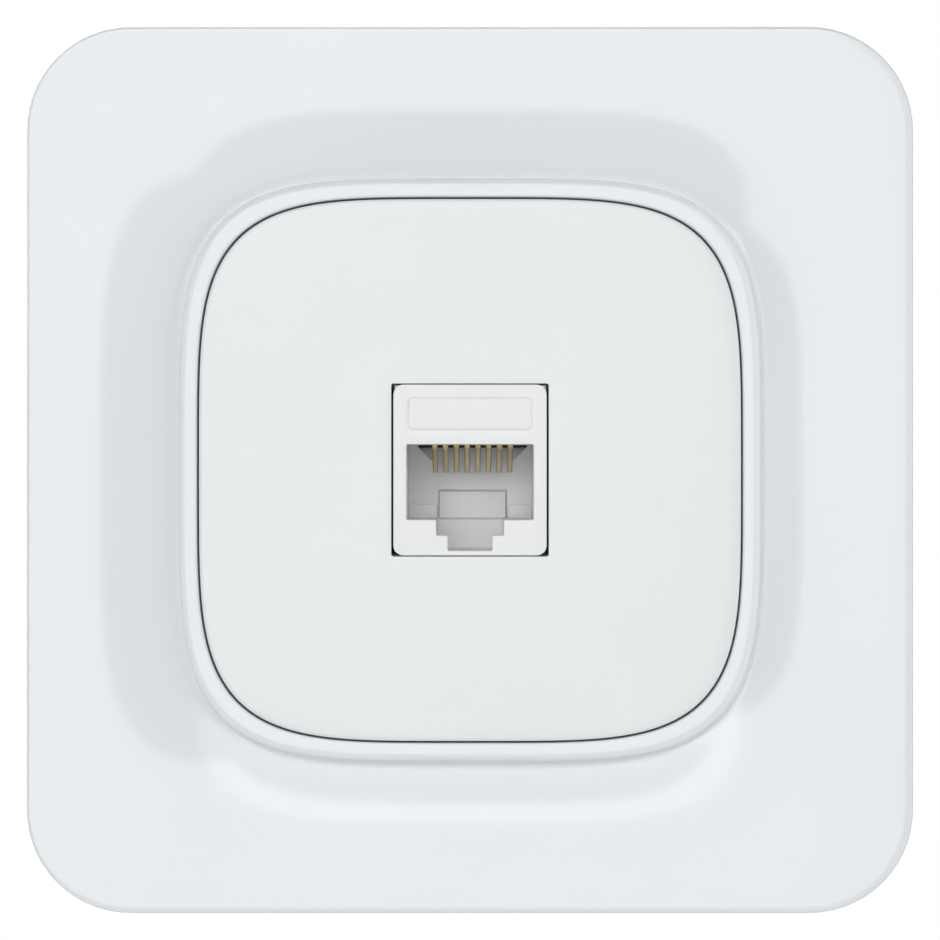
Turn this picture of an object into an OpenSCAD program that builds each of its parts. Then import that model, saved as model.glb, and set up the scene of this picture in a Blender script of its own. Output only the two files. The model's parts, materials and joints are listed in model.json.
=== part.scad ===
// Flush data wall socket with one modular jack.
// X runs to the right and Z up. The back of the steel plate lies in the wall plane at Y = 0,
// the face looks along -Y, and the jack and the claws reach into the wall box along +Y.
// A height is a distance in front of the wall plane.

/* [Frame] */
// Width and height of the square frame
frame_size = 83; // [82:0.1:86]
// Corner radius of the frame's outline
frame_corner_r = 9.7; // [8:0.1:12]
// Height of the frame's outer rim
rim_height = 9.6; // [9.2:0.1:9.8]
// Height of the dish at the foot of the collar
dish_height = 7.2; // [7:0.1:7.6]
// Height of the collar around the centre plate
collar_height = 9.2; // [8.8:0.1:9.4]
// Width of the flat top of the collar
collar_top = 1.65; // [1.4:0.05:1.8]
// Wall thickness under the dish
frame_wall = 2; // [1.6:0.1:2.2]
// Exponent of the rounded-square outlines
squareness = 4.35; // [3.8:0.05:5]

/* [Centre plate] */
// Width and height of the centre plate
plate_size = 50.8; // [50:0.1:51]
// Gap between the centre plate and the collar
plate_gap = 0.2; // [0.15:0.05:0.4]
// Height of the centre plate's face
face_height = 9.6; // [9.5:0.05:10]
// Width of the jack window
window_w = 14.75; // [14.6:0.05:15]
// Height of the jack window
window_h = 16.2; // [16.1:0.05:16.4]

/* [Jack] */
// Width of the jack's face
jack_w = 14.35; // [14.1:0.05:14.5]
// Width of the plug opening
plug_w = 11.9; // [11.8:0.02:12]
// Depth of the plug opening
plug_depth = 13; // [12.5:0.1:13.4]
// Width of the latch keyway's upper step
keyway_w = 6.32; // [6.2:0.02:6.4]
// Width of the latch keyway's lower step
keyway_slot_w = 4.17; // [4.1:0.01:4.4]

/* [Contacts] */
// Distance from one contact to the next
contact_pitch = 1.016; // [1:0.004:1.02]
// Sideways offset of the row of contacts in the plug opening
contact_shift = 0.24; // [0:0.02:0.3]
// Width of one contact
contact_w = 0.5; // [0.4:0.02:0.5]
// Length of a spring beam
beam_length = 7.9; // [7.6:0.1:8.1]
// Slope of a spring beam at rest, in degrees
beam_slope = 16; // [15:0.1:17]

/* [Steel plate] */
// Width and height of the steel plate
steel_size = 71; // [69:1:71]
// Thickness of the steel plate
steel_t = 1.2; // [1:0.1:1.2]
// Distance between opposite box-screw slots
box_spacing = 60; // [60:0.5:61]
// Distance between the corner holes
corner_spacing = 57; // [56:0.5:58]
// Diameter of the corner holes
corner_hole_d = 4.2; // [3.6:0.1:4.6]

/* [Claws] */
// Distance from the centre to each claw screw
screw_x = 25; // [25:0.1:25.2]
// Diameter of the claw screws
screw_d = 3; // [2.8:0.1:3]
// Distance from the centre to each claw's pivot
pivot_x = 19; // [18.9:0.1:19]
// Tilt of the claws at rest, in degrees
claw_tilt = 15; // [14:0.5:15]

/* [Hidden] */
CONTACT_COUNT = 8;
BEAMS = [for (i = [1:CONTACT_COUNT]) str("contact_beam_", i)];
$fn = 48;

// Frame
frame_half = frame_size / 2;
rim_edge_r = 0.45;
rim_half = frame_half - rim_edge_r;
dish_steps = 7;
blend_start = 35.5;
plate_half = plate_size / 2;
collar_inner = plate_half + plate_gap;
collar_edge_r = 0.5;
collar_outer = collar_inner + collar_top;
collar_wall = collar_outer + 0.25;
foot_half = collar_wall + 1.1;
inner_chamfer = 0.25;
lip_top = 5;
lip_bottom = 4;
lip_half = collar_inner - 1.6;
skirt_half = frame_half - 2.2;
points_per_side = 18;

// Centre plate
plate_bevel = 0.3;
plate_wall = 2;
plate_skirt = 1.7;
bevel_steps = 2;
plate_back = lip_top;
window_r = 0.15;
leg_x = 13;
leg_w = 6;
leg_z = [11.3, 12.7];
leg_barb = 0.7;
leg_end = 0.15;

// Carrier
flange = [43, 40, 2];
flange_top = steel_t + flange[2];
tube_out = [17.7, 19.8];
tube_in_w = 14.75;
tube_z = [-8, 8.25];
tube_front = 7;
tube_rear = 7;
rivet_at = [19.2, 17.5];
rivet_r = 1.2;
rivet_head_r = 2;
rivet_head_h = 0.7;

// Jack
jack_half_h = 8;
jack_face_r = 0.95;
jack_rear = 8;
plug_x = plug_w / 2;
plug_z = [-4.66, 2.4];
keyway_z = [-6.13, -7.55];
keyway_lip = 1.6;
pocket_front = -face_height + 1;
pocket_top = 4.3;
cavity_rear = plug_depth - face_height;
lug = [7, [-1, 1.5], [-9.4, -8]];
arm_pivot = [-3.5, 7.2];
arm_t = 1.1;
arm_w = 6;
arm_end = 10.5;
pad_x = 5.83;
pad_z = [3.75, 6.8];
pad_rise = 0.15;

// Contacts
contact_t = 0.3;
bend_r = 0.6;
root_gap_angle = 18;
bend_centre = [-7.45, 2.6];
beam_start = bend_centre + bend_r * [-sin(beam_slope), -cos(beam_slope)];
run_z = bend_centre[1] + bend_r;
roof_front = -7;
rear_wall_t = 2.4;
groove_w = 0.6;
ledge_x = 3.32;
ledge_rise = 0.8;
ledge_top = -3.35;
stop_half = 3.2;
stop_rise = 0.6;
stop_top = -2.05;
comb_w = 0.62;
comb_depth = 1.6;
comb_end = -0.32;
roof_slot = [10.4, 0.24];

// Circuit board and terminals
pcb_y = [8, 9.6];
pcb_x = 7;
pcb_z = 7.6;
idc_x = [3.4, 7.1];
idc_y = [pcb_y[1], 19.4];
idc_z = 7.9;
wire_z = [-6, -2, 2, 6];
blade_x = [5, 5.4];
blade_w = 3;
blade_end = 17.4;
cap_wall = 0.4;
cap_y = [15, 20.6];

// Steel plate and claws
steel_corner_r = 4;
steel_opening = [34, 30];
notch_x = [steel_opening[0] / 2, 21.4];
notch_z = [4.6, 10.8];
slot_length = 9.5;
slot_r = 1.75;
ear_t = 1.2;
ear_r = 1.8;
pivot_y = 4;
pin_r = 1;
cheek_z = [3, 4.2];
lever_arm = (screw_x - pivot_x) / cos(claw_tilt);
screw_r = screw_d / 2;
screw_end = 14;
screw_head_r = 2.75;
screw_head_h = 2.1;
head_gap = 0.03;

// ---------- outlines and sweeps ----------

function clamp01(v) = max(0, min(1, v));
function smooth(v) = clamp01(v) * clamp01(v) * (3 - 2 * clamp01(v));

// Distance from the centre to a rounded-square curve of the form |x|^n + |z|^n = a^n
function squircle_r(a, t) =
    a / pow(pow(abs(cos(t)), squareness) + pow(abs(sin(t)), squareness), 1 / squareness);

// Distance from the centre to a square of half width a with corners of radius r
function square_r(a, r, t) =
    let (c = abs(cos(t)), s = abs(sin(t)), k = a - r, m = k * (c + s))
    a * min(c, s) / max(c, s) <= k ? a / max(c, s) : m + sqrt(max(0, m * m - 2 * k * k + r * r));

// Directions around one turn, closer together at the corners
STATIONS = [
    for (q = [0:3], j = [0:points_per_side - 1])
        let (u = 2 * j / points_per_side - 1) 90 * q + 45 + 45 * (0.35 * u + 0.65 * u * u * u)
];

// One closed loop at a height. square is 0 for the rounded-square curve and 1 for the true square.
function loop_at(a, square, height) = [
    for (t = STATIONS)
        let (r = (1 - square) * squircle_r(a, t)
               + square * square_r(a, frame_corner_r - (frame_half - a), t))
            [r * cos(t), -height, r * sin(t)]
];

// A ring-shaped skin through loops, the last one joined to the first
module ring_skin(loops) {
    n = len(STATIONS);
    count = len(loops);
    polyhedron(points = [for (l = loops) each l], faces = [
        for (i = [0:count - 1], k = [0:n - 1])
            let (p = i * n + k, q = i * n + (k + 1) % n,
                 r = (i + 1) % count * n + (k + 1) % n, s = (i + 1) % count * n + k)
                each [[p, q, r], [p, r, s]]
    ]);
}

module squircle(a) {
    polygon([for (t = STATIONS) squircle_r(a, t) * [cos(t), sin(t)]]);
}

module rounded_rect(w, h, r) {
    polygon([
        for (q = [0:3], t = [0:15:90])
            let (cx = (q == 0 || q == 3 ? 1 : -1) * (w / 2 - r), cz = (q < 2 ? 1 : -1) * (h / 2 - r))
                [cx + r * cos(90 * q + t), cz + r * sin(90 * q + t)]
    ]);
}

// Extrudes an XZ outline between two places on Y
module along_y(from, to) {
    translate([0, to, 0]) rotate([90, 0, 0]) linear_extrude(to - from) children();
}

// Extrudes a YZ outline by w, centred on X
module across_x(w) {
    translate([-w / 2, 0, 0]) rotate([90, 0, 90]) linear_extrude(w) children();
}

module block(x, y, z) {
    translate([x[0], y[0], z[0]]) cube([x[1] - x[0], y[1] - y[0], z[1] - z[0]]);
}

module rod_y(r, from, to) {
    translate([0, to, 0]) rotate([90, 0, 0]) cylinder(r = r, h = to - from);
}

module four_corners(x, z) {
    for (sx = [-1, 1], sz = [-1, 1]) translate([sx * x, 0, sz * z]) children();
}

// ---------- frame and centre plate ----------

function dish_at(a) =
    let (u = clamp01((a - foot_half) / (rim_half - foot_half)))
    dish_height + (rim_height - dish_height) * (1 - (1 - u) * (1 - u));
function blend_at(a) = smooth((a - blend_start) / (rim_half - blend_start));

rim_edge = [
    for (t = [0:45:90])
        [rim_half + rim_edge_r * cos(t), 1, rim_height - rim_edge_r + rim_edge_r * sin(t)]
];
dish = [
    for (i = [1:dish_steps])
        let (a = rim_half + (foot_half - rim_half) * i / dish_steps) [a, blend_at(a), dish_at(a)]
];
collar = concat(
    [[collar_wall + 0.75, 0, dish_height + 0.02], [collar_wall + 0.35, 0, dish_height + 0.35]],
    [
        for (t = [0:45:90])
            [collar_wall - collar_edge_r * (1 - cos(t)), 0, collar_height - collar_edge_r * (1 - sin(t))]
    ],
    [[collar_inner + inner_chamfer, 0, collar_height], [collar_inner, 0, collar_height - inner_chamfer]]
);
lip = [
    [collar_inner, 0, lip_top], [lip_half, 0, lip_top], [lip_half, 0, lip_bottom],
    [collar_outer, 0, lip_bottom]
];
underside = concat(
    [for (a = [foot_half + 0.2, 33, 37]) [a, blend_at(a), dish_at(a) - frame_wall]],
    [[skirt_half, 1, rim_height - frame_wall], [skirt_half, 1, 0]]
);
frame_loops = concat([[frame_half, 1, 0]], rim_edge, dish, collar, lip, underside);

module outer_frame() {
    color("whitesmoke") ring_skin([for (l = frame_loops) loop_at(l[0], l[1], l[2])]);
}

module centre_plate() {
    color("white") difference() {
        union() {
            difference() {
                plate_blank();
                along_y(-face_height + plate_wall, 0) squircle(plate_half - plate_skirt);
            }
            for (sx = [-1, 1], sz = [-1, 1]) scale([sx, 1, sz]) plate_leg();
        }
        along_y(-face_height - 1, 0) rounded_rect(window_w, window_h, window_r);
    }
}

// The outside of the centre plate, with a narrow bevel cut in steps around its face
module plate_blank() {
    step = plate_bevel / bevel_steps;
    for (i = [0:bevel_steps])
        along_y(-face_height + i * step, -plate_back) squircle(plate_half - plate_bevel + i * step);
}

// A snap leg that reaches through the carrier's flange and hooks behind it
module plate_leg() {
    x = [leg_x - leg_w / 2, leg_x + leg_w / 2];
    block(x, [-face_height + plate_wall, -leg_end], leg_z);
    translate([leg_x, 0, 0]) across_x(leg_w) polygon([
        [-steel_t, leg_z[1] - 0.1], [-steel_t, leg_z[1] + leg_barb], [-leg_end, leg_z[1]],
        [-leg_end, leg_z[1] - 0.1]
    ]);
}

// ---------- carrier, steel plate and rivets ----------

module keystone_carrier() {
    color("gainsboro") difference() {
        union() {
            along_y(-flange_top, -steel_t) rounded_rect(flange[0], flange[1], 2);
            along_y(-tube_front, tube_rear) rounded_rect(tube_out[0], tube_out[1], 1);
        }
        block([-tube_in_w / 2, tube_in_w / 2], [-tube_front - 1, tube_rear + 1], tube_z);
        block([-lug[0] / 2 - 0.2, lug[0] / 2 + 0.2], [lug[1][0] - 0.15, lug[1][1] + 0.15],
              [-tube_out[1], -jack_half_h + 0.1]);
        for (sx = [-1, 1], sz = [-1, 1]) scale([sx, 1, sz])
            block([leg_x - leg_w / 2 - 0.2, leg_x + leg_w / 2 + 0.2], [-tube_front, 0],
                  leg_z + [-0.2, 0.2]);
        four_corners(rivet_at[0], rivet_at[1]) rod_y(rivet_r, -tube_front, 0);
    }
}

module carrier_rivets() {
    color("silver") four_corners(rivet_at[0], rivet_at[1]) {
        rod_y(rivet_r, -flange_top, -0.02);
        rod_y(rivet_head_r, -flange_top - rivet_head_h, -flange_top);
    }
}

module mounting_plate() {
    color("lightsteelblue") {
        difference() {
            along_y(-steel_t, 0) rounded_rect(steel_size, steel_size, steel_corner_r);
            block([-steel_opening[0] / 2, steel_opening[0] / 2], [-steel_t - 1, 1],
                  [-steel_opening[1] / 2, steel_opening[1] / 2]);
            for (sx = [-1, 1], sz = [-1, 1]) scale([sx, 1, sz])
                block([notch_x[0] - 1, notch_x[1]], [-steel_t - 1, 1], notch_z);
            for (sx = [-1, 1]) translate([sx * screw_x, 0, 0])
                rod_y(screw_r + 0.06, -steel_t - 1, 1);
            four_corners(corner_spacing / 2, corner_spacing / 2)
                rod_y(corner_hole_d / 2, -steel_t - 1, 1);
            four_corners(rivet_at[0], rivet_at[1]) rod_y(rivet_r, -steel_t - 1, 1);
            for (turn = [0:90:270]) rotate([0, turn, 0]) box_screw_slot();
        }
        for (sx = [-1, 1], sz = [-1, 1]) scale([sx, 1, sz]) claw_ear();
    }
}

module box_screw_slot() {
    half = slot_length / 2 - slot_r;
    translate([0, 0, box_spacing / 2]) {
        for (sx = [-1, 1]) translate([sx * half, 0, 0]) rod_y(slot_r, -steel_t - 1, 1);
        block([-half, half], [-steel_t - 1, 1], [-slot_r, slot_r]);
    }
}

// An ear bent back out of the plate, which holds one end of a claw's pivot pin
module claw_ear() {
    z = [notch_z[0], notch_z[0] + ear_t];
    difference() {
        union() {
            block([pivot_x - ear_r, pivot_x + ear_r], [-steel_t, pivot_y], z);
            translate([pivot_x, pivot_y, z[0]]) cylinder(r = ear_r, h = ear_t);
        }
        translate([pivot_x, pivot_y, z[0] - 1]) cylinder(r = pin_r, h = ear_t + 2);
    }
}

// ---------- claws ----------

// Drawn for the right side, in the claw's own frame: pivot at the origin, lever arm along +X
module claw() {
    difference() {
        union() {
            for (s = [-1, 1]) scale([1, 1, s]) translate([0, 0, cheek_z[0]])
                linear_extrude(cheek_z[1] - cheek_z[0]) claw_cheek();
            block([3.4, lever_arm + 2.6], [-0.6, 0.6], [-cheek_z[0], cheek_z[0]]);
            translate([0, 0, -cheek_z[0]]) linear_extrude(2 * cheek_z[0])
                polygon([[9, 9.6], [11.2, 9.6], [12, 11], [10.3, 12.5], [8.6, 12.2]]);
        }
        translate([lever_arm, 0, 0]) rod_y(screw_r + 0.5, -2, 2);
        cylinder(r = pin_r + 0.05, h = 20, center = true);
    }
}

module claw_cheek() {
    polygon([
        [-1.8, -0.9], [-0.9, -1.8], [0, -2], [lever_arm + 2, -1.3], [lever_arm + 2.6, 1], [8.6, 5],
        [11.2, 9.6], [12, 11], [11, 11.4], [10.3, 12.5], [9.6, 11.9], [8.6, 12.2], [-0.5, 2], [-1.8, 0.9]
    ]);
}

module claw_right() {
    color("silver") translate([pivot_x, pivot_y, 0]) rotate([0, 0, claw_tilt]) claw();
}

module claw_left() {
    color("silver") mirror([1, 0, 0])
        translate([pivot_x, pivot_y, 0]) rotate([0, 0, claw_tilt]) claw();
}

// A screw that turns in the steel plate and draws the claw's lever arm forward
module claw_screw(x) {
    head = -steel_t - head_gap;
    color("silver") translate([x, 0, 0]) difference() {
        union() {
            rod_y(screw_r, head - 0.1, screw_end - 0.5);
            translate([0, screw_end - 0.5, 0]) rotate([-90, 0, 0])
                cylinder(r1 = screw_r, r2 = screw_r - 0.5, h = 0.5);
            rod_y(screw_head_r, head - screw_head_h + 0.4, head);
            translate([0, head - screw_head_h + 0.4, 0]) rotate([90, 0, 0])
                cylinder(r1 = screw_head_r, r2 = screw_head_r - 0.4, h = 0.4);
        }
        for (turn = [0, 90]) rotate([0, turn, 0])
            block([-1.7, 1.7], [head - screw_head_h - 1, head - screw_head_h + 1.2], [-0.3, 0.3]);
    }
}

module claw_pins() {
    end = notch_z[0] + ear_t + 0.3;
    color("dimgray") for (sx = [-1, 1]) translate([sx * pivot_x, pivot_y, 0])
        cylinder(r = pin_r, h = 2 * end, center = true);
}

// ---------- jack ----------

module jack_housing() {
    color("snow") difference() {
        union() {
            along_y(-face_height, jack_rear) rounded_rect(jack_w, 2 * jack_half_h, jack_face_r);
            block([-lug[0] / 2, lug[0] / 2], lug[1], [lug[2][0], lug[2][1] + 1]);
            label_pad();
        }
        block([-plug_x, plug_x], [-face_height - 1, jack_rear + 1], plug_z);
        block([-plug_x, plug_x], [pocket_front, jack_rear + 1], [plug_z[0], pocket_top]);
        latch_keyway();
        block([-arm_w / 2 - 0.5, arm_w / 2 + 0.5], [arm_pivot[0] - 0.9, jack_rear + 1],
              [arm_pivot[1] - 2.3, jack_half_h + 1]);
    }
}

// The raised pad for a label, left blank
module label_pad() {
    w = 2 * pad_x;
    h = pad_z[1] - pad_z[0];
    translate([0, 0, (pad_z[0] + pad_z[1]) / 2])
        along_y(-face_height - pad_rise, -face_height + 0.5) rounded_rect(w, h, 0.3);
}

// The stepped slot under the plug opening. Its lower step widens behind the front wall,
// where the shoulders of a plug's latch catch.
module latch_keyway() {
    half = keyway_w / 2;
    slot = keyway_slot_w / 2;
    block([-half, half], [-face_height - 1, cavity_rear], [keyway_z[0], plug_z[0] + 1]);
    block([-slot, slot], [-face_height - 1, cavity_rear], [keyway_z[1], keyway_z[0] + 1]);
    block([-half, half], [-face_height + keyway_lip, cavity_rear], [keyway_z[1], keyway_z[0] + 1]);
}

// The springy latch on top of the jack, with its catch and thumb tab
module jack_latch_arm() {
    py = arm_pivot[0];
    pz = arm_pivot[1];
    color("snow") union() {
        across_x(arm_w) polygon([
            [py, pz - arm_t / 2], [arm_end, pz - arm_t / 2], [arm_end, 11], [arm_end - 1.1, 11],
            [arm_end - 1.4, pz + arm_t / 2], [8.8, pz + arm_t / 2], [8.6, 9.2], [tube_rear + 0.15, 9.2],
            [tube_rear + 0.15, pz + arm_t / 2], [py, pz + arm_t / 2]
        ]);
        translate([-arm_w / 2, py, pz]) rotate([0, 90, 0]) cylinder(r = arm_t / 2, h = arm_w);
    }
}

function contact_x(i) = (i - (CONTACT_COUNT + 1) / 2) * contact_pitch + contact_shift;

// The moulded insert: a roof with grooves for the contacts' fixed runs, and the rear wall with its
// comb slots, ledges and centre block
module contact_insert() {
    roof = plug_z[1] + 0.02;
    groove = run_z - contact_t / 2;
    color("ivory") difference() {
        union() {
            block([-plug_x, plug_x], [roof_front, jack_rear], [roof, pocket_top]);
            block([-plug_x, plug_x], [cavity_rear, cavity_rear + rear_wall_t], [plug_z[0], roof]);
            for (x = [[-plug_x, contact_shift - ledge_x], [contact_shift + ledge_x, plug_x]])
                block(x, [cavity_rear - ledge_rise, cavity_rear], [plug_z[0], ledge_top]);
            block(contact_shift + stop_half * [-1, 1], [cavity_rear - stop_rise, cavity_rear],
                  [plug_z[0], stop_top]);
        }
        for (i = [1:CONTACT_COUNT]) translate([contact_x(i), 0, 0]) {
            block(groove_w / 2 * [-1, 1], [roof_front - 1, jack_rear + 1], [groove, pocket_top + 1]);
            block([-comb_w / 2, comb_w / 2], [cavity_rear - 1, cavity_rear + comb_depth],
                  [comb_end, roof - 0.1]);
        }
        block(contact_shift + roof_slot[0] / 2 * [-1, 1], [cavity_rear - 1, cavity_rear + comb_depth],
              [roof - roof_slot[1], roof]);
    }
}

// The fixed run of each contact: the front bend, the run over the comb, and the end in the board
module contact_tails() {
    color("goldenrod") for (i = [1:CONTACT_COUNT]) translate([contact_x(i), 0, 0]) {
        translate([0, bend_centre[0], bend_centre[1]]) contact_bend();
        block([-contact_w / 2, contact_w / 2], [bend_centre[0], pcb_y[1]],
              [run_z - contact_t / 2, run_z + contact_t / 2]);
    }
}

module contact_bend() {
    translate([-contact_w / 2, 0, 0]) rotate([90, 0, 90])
        rotate([0, 0, 90]) rotate_extrude(angle = 180 - beam_slope - root_gap_angle)
            translate([bend_r - contact_t / 2, 0]) square([contact_t, contact_w]);
}

// One spring beam, from its round root at the front bend down towards the rear wall
module contact_beam(i) {
    color("gold") translate([contact_x(i), beam_start[0], beam_start[1]]) rotate([-beam_slope, 0, 0]) {
        block([-contact_w / 2, contact_w / 2], [0, beam_length], [-contact_t / 2, contact_t / 2]);
        translate([-contact_w / 2, 0, 0]) rotate([0, 90, 0]) cylinder(r = contact_t / 2, h = contact_w);
    }
}

// ---------- circuit board and wire terminals ----------

module jack_pcb() {
    color("seagreen") difference() {
        block([-pcb_x, pcb_x], pcb_y, [-pcb_z, pcb_z]);
        block([-arm_w / 2 - 0.5, arm_w / 2 + 0.5], pcb_y + [-1, 1], [arm_pivot[1] - 2.4, pcb_z + 1]);
        for (i = [1:CONTACT_COUNT]) translate([contact_x(i), 0, run_z])
            rod_y(0.32, pcb_y[0] - 1, pcb_y[1] + 1);
        for (sx = [-1, 1], z = wire_z) translate([sx * (blade_x[0] + blade_x[1]) / 2, 0, z])
            rod_y(0.32, pcb_y[0] - 1, pcb_y[1] + 1);
    }
}

// Terminal block for the right side: slots for four wires, and a pocket for each blade
module idc_block() {
    color("snow") difference() {
        block(idc_x, idc_y, [-idc_z, idc_z]);
        for (z = wire_z) translate([0, 0, z]) {
            block([idc_x[0] - 1, idc_x[1] + 1], [12.4, idc_y[1] + 1], [-0.55, 0.55]);
            block(blade_x + [-0.05, 0.05], [idc_y[0] - 1, idc_y[1] + 1],
                  [-blade_w / 2 - 0.05, blade_w / 2 + 0.05]);
        }
    }
}

module idc_block_right() {
    idc_block();
}

module idc_block_left() {
    mirror([1, 0, 0]) idc_block();
}

// Four forked blades for the right side, each with a solder pin through the board
module idc_blades() {
    color("darkgoldenrod") for (z = wire_z) translate([0, 0, z]) {
        difference() {
            block(blade_x, [idc_y[0], blade_end], [-blade_w / 2, blade_w / 2]);
            block(blade_x + [-1, 1], [12.8, blade_end + 1], [-0.2, 0.2]);
        }
        translate([(blade_x[0] + blade_x[1]) / 2, 0, 0]) rod_y(0.2, pcb_y[0], idc_y[0] + 0.3);
    }
}

module idc_blades_right() {
    idc_blades();
}

module idc_blades_left() {
    mirror([1, 0, 0]) idc_blades();
}

// A cap for the right side, pushed on over the terminated wires
module wire_cap() {
    inner = [idc_x[0] - 0.1, idc_x[1] + 0.1];
    color("whitesmoke") {
        difference() {
            block(inner + cap_wall * [-1, 1], cap_y, [-idc_z - 0.1 - cap_wall, idc_z + 0.1 + cap_wall]);
            block(inner, [cap_y[0] - 1, idc_y[1] + 0.15], [-idc_z - 0.1, idc_z + 0.1]);
            for (z = wire_z)
                block([inner[1] - 0.1, inner[1] + 1], [cap_y[0] - 1, idc_y[1] - 0.6], [z - 0.9, z + 0.9]);
        }
    }
}

module wire_cap_right() {
    wire_cap();
}

module wire_cap_left() {
    mirror([1, 0, 0]) wire_cap();
}

outer_frame();
centre_plate();
keystone_carrier();
carrier_rivets();
mounting_plate();
claw_left();
claw_right();
claw_screw(-screw_x);  // claw_screw_left
claw_screw(screw_x);  // claw_screw_right
claw_pins();
jack_housing();
jack_latch_arm();
contact_insert();
contact_tails();
jack_pcb();
idc_block_left();
idc_block_right();
idc_blades_left();
idc_blades_right();
wire_cap_left();
wire_cap_right();
for (i = [1:CONTACT_COUNT]) contact_beam(i);
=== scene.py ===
# %% [markdown]
# # A flush data wall socket
#
# The object is the socket that sits in a wall and takes a network plug. From the front it is a
# square glossy frame with a dished surround, a raised collar, a rounded-square centre plate and a
# small jack with eight gold contacts. Behind the wall plane it has a steel plate, two claws that
# grip the wall box, and the terminals for the cable.
#
# The engineering model holds every size and every moving part. This lesson keeps the parts whose
# shape is already right and gives them a finish, and models again the ones that deserve smooth
# curves. Lengths are in metres, X runs to the right, Z up, and the face looks along -Y.

# %% Load the fixed frame
import json
import math

import bmesh
import bpy
from mathutils import Matrix, Vector


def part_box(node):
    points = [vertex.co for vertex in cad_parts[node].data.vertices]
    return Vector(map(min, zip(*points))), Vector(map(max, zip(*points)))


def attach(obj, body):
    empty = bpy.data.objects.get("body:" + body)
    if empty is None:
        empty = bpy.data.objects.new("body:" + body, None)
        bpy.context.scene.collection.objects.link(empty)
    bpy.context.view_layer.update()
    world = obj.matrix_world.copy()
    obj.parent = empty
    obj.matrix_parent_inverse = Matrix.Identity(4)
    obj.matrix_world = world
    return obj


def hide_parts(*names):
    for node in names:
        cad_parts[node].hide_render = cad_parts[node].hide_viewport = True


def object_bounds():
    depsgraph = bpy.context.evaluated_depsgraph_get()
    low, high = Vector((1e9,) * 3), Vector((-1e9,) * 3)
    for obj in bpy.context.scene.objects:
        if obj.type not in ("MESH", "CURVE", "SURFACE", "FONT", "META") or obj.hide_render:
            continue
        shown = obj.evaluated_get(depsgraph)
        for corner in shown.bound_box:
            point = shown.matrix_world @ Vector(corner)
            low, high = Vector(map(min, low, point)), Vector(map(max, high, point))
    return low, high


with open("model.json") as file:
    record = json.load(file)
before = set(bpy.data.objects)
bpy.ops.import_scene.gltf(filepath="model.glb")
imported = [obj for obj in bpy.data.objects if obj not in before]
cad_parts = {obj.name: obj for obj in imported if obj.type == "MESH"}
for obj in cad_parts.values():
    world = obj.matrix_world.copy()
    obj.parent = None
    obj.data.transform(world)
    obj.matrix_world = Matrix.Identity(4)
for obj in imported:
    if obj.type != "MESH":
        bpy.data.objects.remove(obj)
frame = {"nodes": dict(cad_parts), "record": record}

cad_low, cad_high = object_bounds()
MM = 0.001

# %% [markdown]
# ## The camera comes first
#
# The object is looked at straight from the front, from about 35 cm, with a long lens. The picture
# is 88 mm wide at the centre plate, so a 36 mm sensor needs a lens of about 143 mm. Placing the
# camera before the pieces means every later choice can be judged in the same view.

# %% Place the camera
VIEW_DISTANCE = 350 * MM
VIEW_WIDTH = 88 * MM
SENSOR = 36.0

face_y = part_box("centre_plate")[0].y
camera_data = bpy.data.cameras.new("camera")
camera_data.sensor_width = SENSOR
camera_data.lens = SENSOR * VIEW_DISTANCE / VIEW_WIDTH
camera = bpy.data.objects.new("camera", camera_data)
camera.location = (0, face_y - VIEW_DISTANCE, 0)
camera.rotation_euler = (math.radians(90), 0, 0)
bpy.context.scene.collection.objects.link(camera)
bpy.context.scene.camera = camera
print("lens:", round(camera_data.lens, 1), "mm")

# %% [markdown]
# ## Two helpers for materials
#
# Colours are easiest to think of as sRGB hex values, the kind a paint program shows. Blender's
# shaders want linear light, so one function turns one into the other. A second function adds a
# node, sets its values and links its inputs, which keeps each material down to a short recipe.

# %% Colour and node helpers
def colour(hex_value):
    """An sRGB hex colour as linear RGBA."""
    channels = [int(hex_value[i : i + 2], 16) / 255 for i in (0, 2, 4)]
    linear = [c / 12.92 if c <= 0.04045 else ((c + 0.055) / 1.055) ** 2.4 for c in channels]
    return (*linear, 1.0)


def add(material, kind, settings=None, **inputs):
    """Add a node. Inputs are values or other nodes' output sockets."""
    tree = material.node_tree
    node = tree.nodes.new(kind)
    for key, value in (settings or {}).items():
        setattr(node, key, value)
    for key, value in inputs.items():
        socket = node.inputs[key.replace("_", " ")]
        if isinstance(value, bpy.types.NodeSocket):
            tree.links.new(value, socket)
        else:
            socket.default_value = value
    return node


def start_material(name, slot):
    """An empty material with a Principled shader, on Object coordinates."""
    material = bpy.data.materials.new(name)
    material.use_nodes = True
    material.node_tree.nodes.clear()
    shader = add(material, "ShaderNodeBsdfPrincipled")
    output = add(material, "ShaderNodeOutputMaterial", Surface=shader.outputs["BSDF"])
    output.location = (400, 0)
    place = add(material, "ShaderNodeTexCoord").outputs["Object"]
    MATERIALS[slot] = material
    return material, shader, place


def ramp(material, factor, stops):
    """A colour ramp from (position, hex) stops."""
    node = add(material, "ShaderNodeValToRGB", Fac=factor)
    elements = node.color_ramp.elements
    while len(elements) < len(stops):
        elements.new(0.5)
    for element, (position, hex_value) in zip(elements, stops):
        element.position = position
        element.color = colour(hex_value)
    return node.outputs["Color"]


def link(material, value, shader, socket):
    material.node_tree.links.new(value, shader.inputs[socket])


MATERIALS = {}

# %% [markdown]
# ## Moulded white plastics
#
# The frame and the centre plate are ABS, moulded in a polished tool. That gives a clear, glossy
# skin with a faint orange-peel waviness, a few millimetres from crest to crest and under a
# hundredth of a millimetre high, so reflections of a lamp have slightly soft edges. The white is a
# little cool, and it drifts by a percent or so where the pigment is not perfectly mixed.
#
# The jack is polycarbonate from a finely textured tool: more neutral, and satin, not glossy.

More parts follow.
